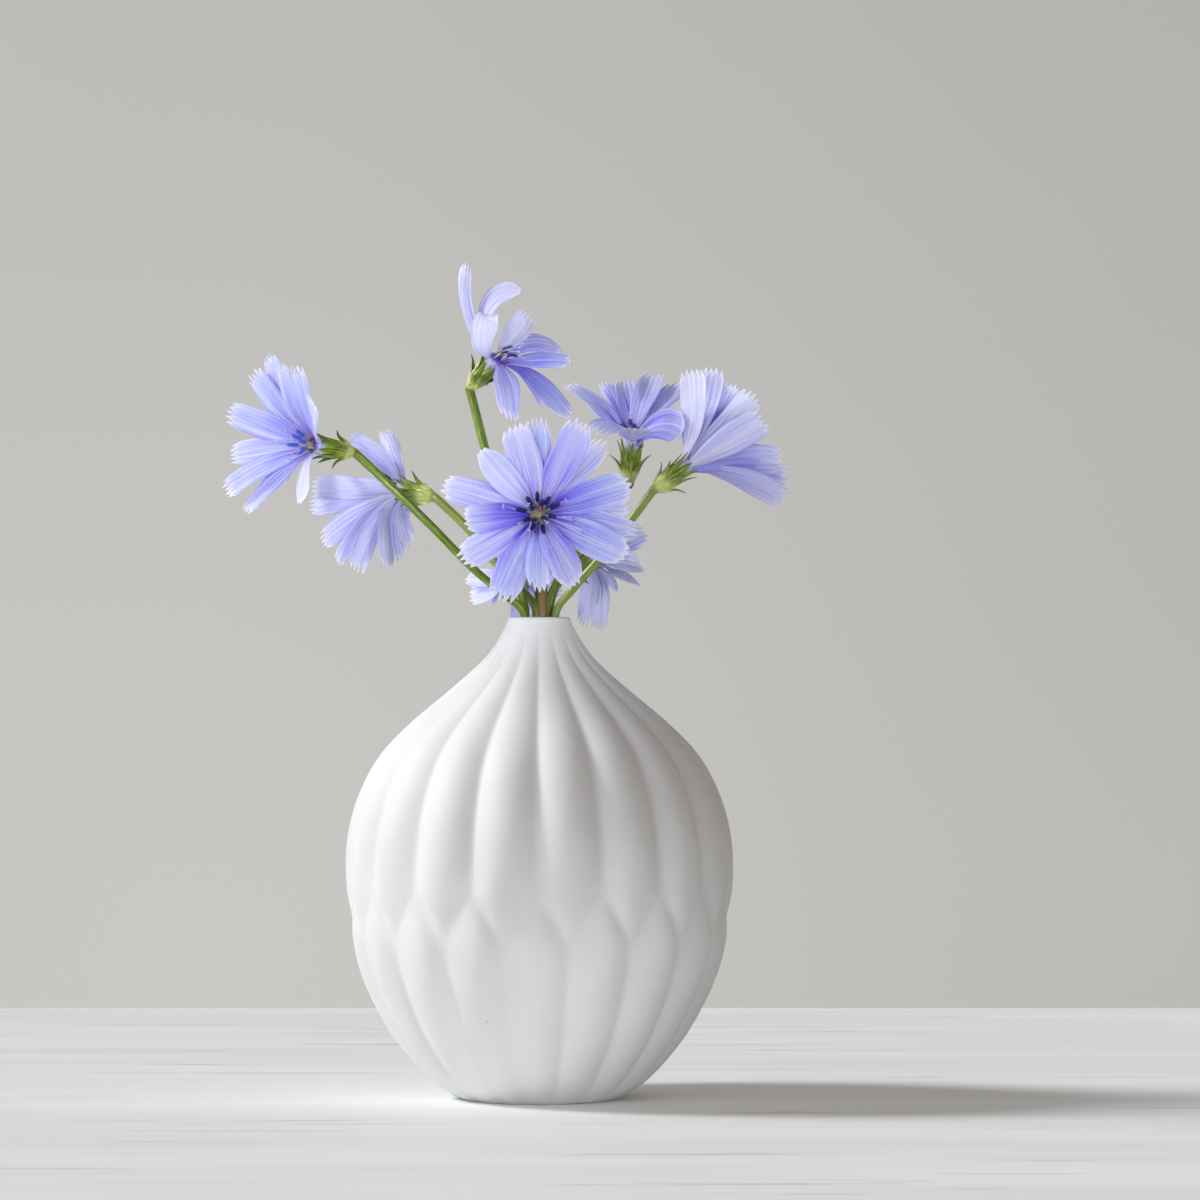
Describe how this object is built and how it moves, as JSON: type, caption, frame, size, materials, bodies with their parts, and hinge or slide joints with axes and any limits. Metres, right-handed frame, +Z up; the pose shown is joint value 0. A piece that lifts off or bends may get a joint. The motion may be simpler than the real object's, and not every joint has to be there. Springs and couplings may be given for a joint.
{
  "type": "chicory flowers in a bud vase",
  "caption": "Cut blue chicory flowers on curved green stems, standing in water in a small ribbed white bisque bud vase.",
  "frame": {"origin": "centre of the vase's flat foot, on the surface that it stands on", "axes": "+Z up along the vase's axis, -Y the front that the picture shows, +X to the right in it"},
  "size_m": [0.1142, 0.0768, 0.1679],
  "materials": {
    "bisque": "matte unglazed",
    "water": "clear",
    "stem": "satin",
    "petal": "soft, slightly translucent",
    "anther": "matte"
  },
  "bodies": {
    "root": {"vase": "bisque", "water": "water", "stem_front": "stem", "florets_front": "petal", "anthers_front": "anther", "stem_top": "stem", "florets_top": "petal", "anthers_top": "anther", "stem_far_left": "stem", "florets_far_left": "petal", "anthers_far_left": "anther", "stem_left": "stem", "florets_left": "petal", "anthers_left": "anther", "stem_right": "stem", "florets_right": "petal", "anthers_right": "anther", "stem_far_right": "stem", "florets_far_right": "petal", "anthers_far_right": "anther", "stem_low_right": "stem", "florets_low_right": "petal", "anthers_low_right": "anther", "stem_low_left": "stem", "florets_low_left": "petal", "anthers_low_left": "anther"}
  },
  "joints": []
}
